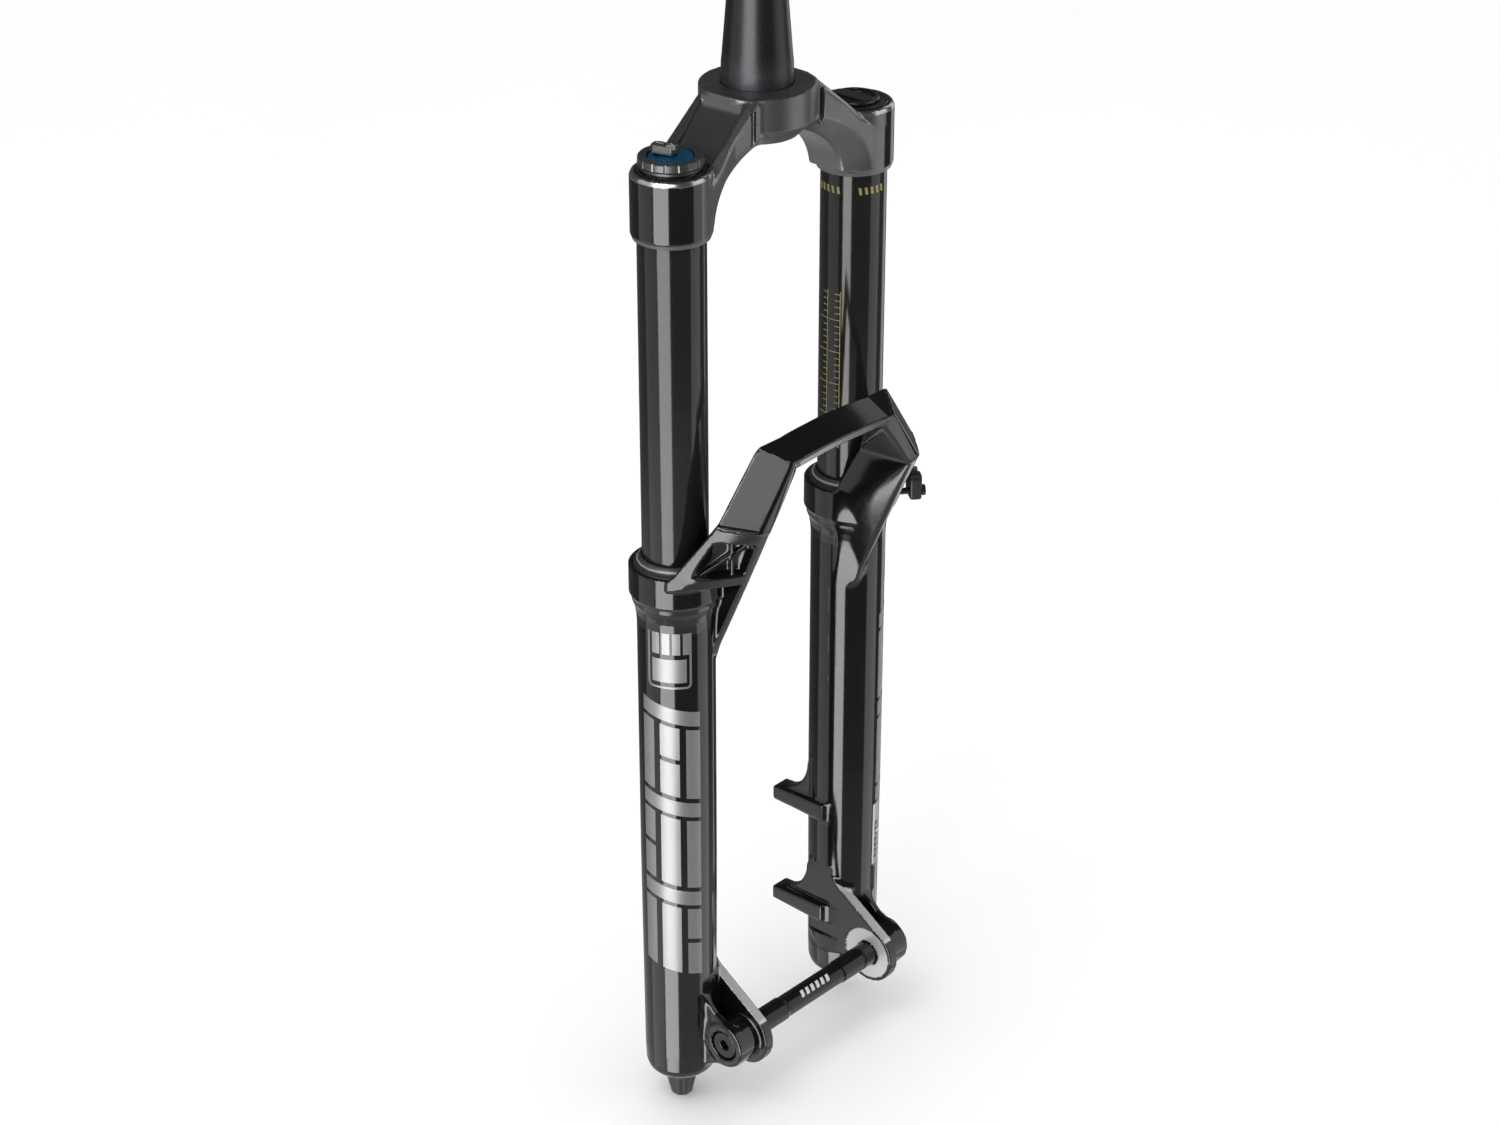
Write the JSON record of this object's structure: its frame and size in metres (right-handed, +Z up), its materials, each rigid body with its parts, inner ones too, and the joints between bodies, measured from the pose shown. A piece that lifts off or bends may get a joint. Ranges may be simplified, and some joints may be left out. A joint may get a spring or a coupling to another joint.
{
  "type": "bicycle suspension fork",
  "caption": "Air-sprung telescopic bicycle fork with tapered steerer, forged crown, one-piece lower casting, thru-axle and post-mount brake posts.",
  "frame": {"origin": "centre of the crown race seat, on the steerer axis", "axes": "+Z up the steerer axis, -Y to the front of the fork, +X to the brake side (left of the bicycle)"},
  "size_m": [0.2034, 0.0993, 0.894],
  "materials": {
    "crown": "satin gunmetal anodised, polished edges",
    "steerer": "satin black anodised",
    "stanchion": "gloss black hard anodised",
    "casting": "gloss black paint over cast magnesium",
    "axle": "gloss black anodised",
    "dial": "black anodised face, grey machined rim",
    "blue_anodised": "blue anodised",
    "lever": "black anodised",
    "black_cap": "semi-gloss black anodised",
    "valve_cap": "moulded black",
    "black_plastic": "moulded black",
    "knob": "black anodised, fluted",
    "seal_rubber": "nitrile",
    "wiper": "low-friction wiper rubber",
    "foam": "oiled open-cell foam",
    "bushing": "lined bearing bush",
    "bright_alloy": "turned",
    "steel": "turned",
    "brass": "turned"
  },
  "bodies": {
    "upper_assembly": {"crown": "crown", "steerer_tube": "steerer", "stanchion_drive_side": "stanchion", "stanchion_brake_side": "stanchion", "damper_top_cap": "black_cap", "damper_top_cap_oring": "seal_rubber", "damper_cartridge_tube": "bright_alloy", "compression_valve": "bright_alloy", "damper_bladder": "seal_rubber", "cartridge_seal_head": "bright_alloy", "air_top_cap": "black_cap", "air_top_cap_oring": "seal_rubber", "air_valve_stem": "brass", "volume_spacer_1": "black_plastic", "volume_spacer_2": "black_plastic", "air_seal_head": "bright_alloy", "air_retaining_ring": "steel"},
    "lowers": {"lower_casting": "casting", "upper_bushing_drive_side": "bushing", "upper_bushing_brake_side": "bushing", "lower_bushing_drive_side": "bushing", "lower_bushing_brake_side": "bushing", "wiper_seal_drive_side": "wiper", "wiper_seal_brake_side": "wiper", "wiper_spring_drive_side": "steel", "wiper_spring_brake_side": "steel", "foam_ring_drive_side": "foam", "foam_ring_brake_side": "foam", "damper_shaft": "bright_alloy", "rebound_piston": "bright_alloy", "rebound_piston_band": "bushing", "damper_foot_bolt": "steel", "damper_foot_washer": "bright_alloy", "air_shaft": "bright_alloy", "air_piston": "black_plastic", "air_piston_seal": "seal_rubber", "topout_bumper": "seal_rubber", "air_foot_bolt": "steel", "air_foot_washer": "bright_alloy", "hose_guide": "black_plastic", "hose_guide_bolt": "steel"},
    "high_speed_dial": {"high_speed_dial": "dial"},
    "low_speed_lever": {"low_speed_dial": "blue_anodised", "low_speed_lever_bar": "lever", "low_speed_lever_screw": "steel"},
    "valve_cap": {"air_valve_cap": "valve_cap"},
    "valve_pin": {"air_valve_pin": "brass"},
    "thru_axle": {"thru_axle": "axle"},
    "rebound_adjuster": {"rebound_knob": "knob", "rebound_adjuster_rod": "bright_alloy"}
  },
  "joints": [
    {"name": "lower_slide", "type": "slide", "parent": "upper_assembly", "child": "lowers", "axis": [0, 0, 1], "range_m": [0, 0.17], "stiffness_N_per_m": 5000},
    {"name": "high_speed_turn", "type": "hinge", "parent": "upper_assembly", "child": "high_speed_dial", "pos_m": [-0.075, -0.006, -0.0202], "axis": [0, 0, 1], "range_deg": [-60, 60]},
    {"name": "low_speed_turn", "type": "hinge", "parent": "upper_assembly", "child": "low_speed_lever", "pos_m": [-0.075, -0.006, -0.0208], "axis": [0, 0, 1], "range_deg": [-135, 135]},
    {"name": "valve_cap_lift", "type": "slide", "parent": "upper_assembly", "child": "valve_cap", "axis": [0, 0, 1], "range_m": [0, 0.03]},
    {"name": "valve_pin_press", "type": "slide", "parent": "upper_assembly", "child": "valve_pin", "axis": [0, 0, -1], "range_m": [0, 0.0015], "stiffness_N_per_m": 300},
    {"name": "axle_withdraw", "type": "slide", "parent": "lowers", "child": "thru_axle", "axis": [-1, 0, 0], "range_m": [0, 0.175]},
    {"name": "rebound_turn", "type": "hinge", "parent": "lowers", "child": "rebound_adjuster", "pos_m": [-0.075, -0.006, -0.608], "axis": [0, 0, 1], "range_deg": [-360, 360]}
  ]
}
